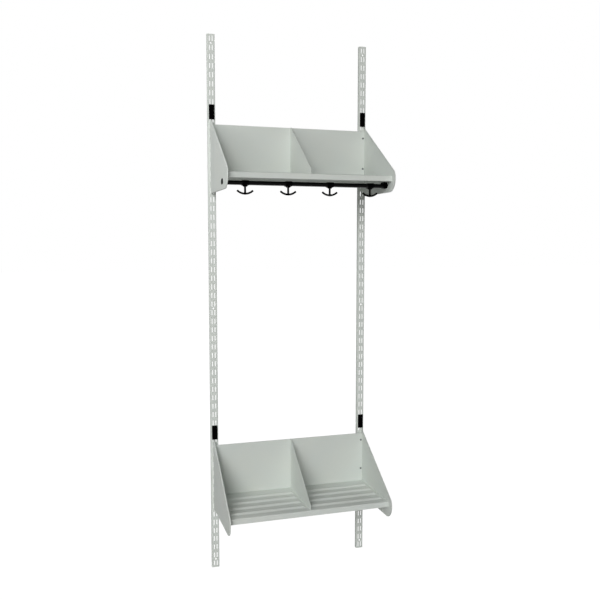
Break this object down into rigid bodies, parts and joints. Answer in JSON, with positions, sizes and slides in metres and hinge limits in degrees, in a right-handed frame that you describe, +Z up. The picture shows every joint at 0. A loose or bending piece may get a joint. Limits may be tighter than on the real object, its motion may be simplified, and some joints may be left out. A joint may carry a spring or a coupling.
{
  "type": "cloakroom wall unit",
  "caption": "Wall-hung changing room unit: slotted uprights with a divided hat shelf, a rail of swivelling anchor hooks under it, and a divided shoe shelf near the floor.",
  "frame": {"origin": "centre of the four corner wall-screw holes, on the front faces of the uprights", "axes": "+X to the right seen from the front, +Y back to the wall, +Z up"},
  "size_m": [0.616, 0.316, 1.984],
  "materials": {
    "grey_paint": "satin powder coat",
    "black_rail": "satin black",
    "black_plastic": "fine-grained black",
    "zinc_screw": "bright zinc"
  },
  "bodies": {
    "frame": {"upright_left": "grey_paint", "upright_right": "grey_paint", "lower_left_panel": "grey_paint", "lower_left_angle": "grey_paint", "lower_right_panel": "grey_paint", "lower_right_angle": "grey_paint", "lower_back_panel": "grey_paint", "lower_tray": "grey_paint", "lower_divider": "grey_paint", "lower_panel_screws": "zinc_screw", "upper_left_panel": "grey_paint", "upper_left_angle": "grey_paint", "upper_right_panel": "grey_paint", "upper_right_angle": "grey_paint", "upper_back_panel": "grey_paint", "upper_tray": "grey_paint", "upper_divider": "grey_paint", "upper_panel_screws": "zinc_screw", "hook_rail": "black_rail", "rail_socket_left": "black_plastic", "rail_socket_right": "black_plastic"},
    "hook_collar_1": {"hook_collar_1": "black_plastic"},
    "anchor_hook_1": {"anchor_hook_1": "black_plastic"},
    "hook_collar_2": {"hook_collar_2": "black_plastic"},
    "anchor_hook_2": {"anchor_hook_2": "black_plastic"},
    "hook_collar_3": {"hook_collar_3": "black_plastic"},
    "anchor_hook_3": {"anchor_hook_3": "black_plastic"},
    "hook_collar_4": {"hook_collar_4": "black_plastic"},
    "anchor_hook_4": {"anchor_hook_4": "black_plastic"},
    "lower_left_lock_clip": {"lower_left_lock_clip": "black_plastic"},
    "lower_right_lock_clip": {"lower_right_lock_clip": "black_plastic"},
    "upper_left_lock_clip": {"upper_left_lock_clip": "black_plastic"},
    "upper_right_lock_clip": {"upper_right_lock_clip": "black_plastic"}
  },
  "joints": [
    {"name": "collar_1_slide", "type": "slide", "parent": "frame", "child": "hook_collar_1", "axis": [1, 0, 0], "range_m": [-0.045, 0.0465]},
    {"name": "hook_1_swivel", "type": "hinge", "parent": "hook_collar_1", "child": "anchor_hook_1", "pos_m": [-0.22114, -0.219, 0.4332], "axis": [0, 0, 1], "continuous": true},
    {"name": "collar_2_slide", "type": "slide", "parent": "frame", "child": "hook_collar_2", "axis": [1, 0, 0], "range_m": [-0.0465, 0.0465]},
    {"name": "hook_2_swivel", "type": "hinge", "parent": "hook_collar_2", "child": "anchor_hook_2", "pos_m": [-0.06865, -0.219, 0.4332], "axis": [0, 0, 1], "continuous": true},
    {"name": "collar_3_slide", "type": "slide", "parent": "frame", "child": "hook_collar_3", "axis": [1, 0, 0], "range_m": [-0.0465, 0.0465]},
    {"name": "hook_3_swivel", "type": "hinge", "parent": "hook_collar_3", "child": "anchor_hook_3", "pos_m": [0.08385, -0.219, 0.4332], "axis": [0, 0, 1], "continuous": true},
    {"name": "collar_4_slide", "type": "slide", "parent": "frame", "child": "hook_collar_4", "axis": [1, 0, 0], "range_m": [-0.0465, 0.03]},
    {"name": "hook_4_swivel", "type": "hinge", "parent": "hook_collar_4", "child": "anchor_hook_4", "pos_m": [0.23634, -0.219, 0.4332], "axis": [0, 0, 1], "continuous": true},
    {"name": "lower_left_clip_pull", "type": "slide", "parent": "frame", "child": "lower_left_lock_clip", "axis": [0, -1, 0], "range_m": [0, 0.012]},
    {"name": "lower_right_clip_pull", "type": "slide", "parent": "frame", "child": "lower_right_lock_clip", "axis": [0, -1, 0], "range_m": [0, 0.012]},
    {"name": "upper_left_clip_pull", "type": "slide", "parent": "frame", "child": "upper_left_lock_clip", "axis": [0, -1, 0], "range_m": [0, 0.012]},
    {"name": "upper_right_clip_pull", "type": "slide", "parent": "frame", "child": "upper_right_lock_clip", "axis": [0, -1, 0], "range_m": [0, 0.012]}
  ]
}
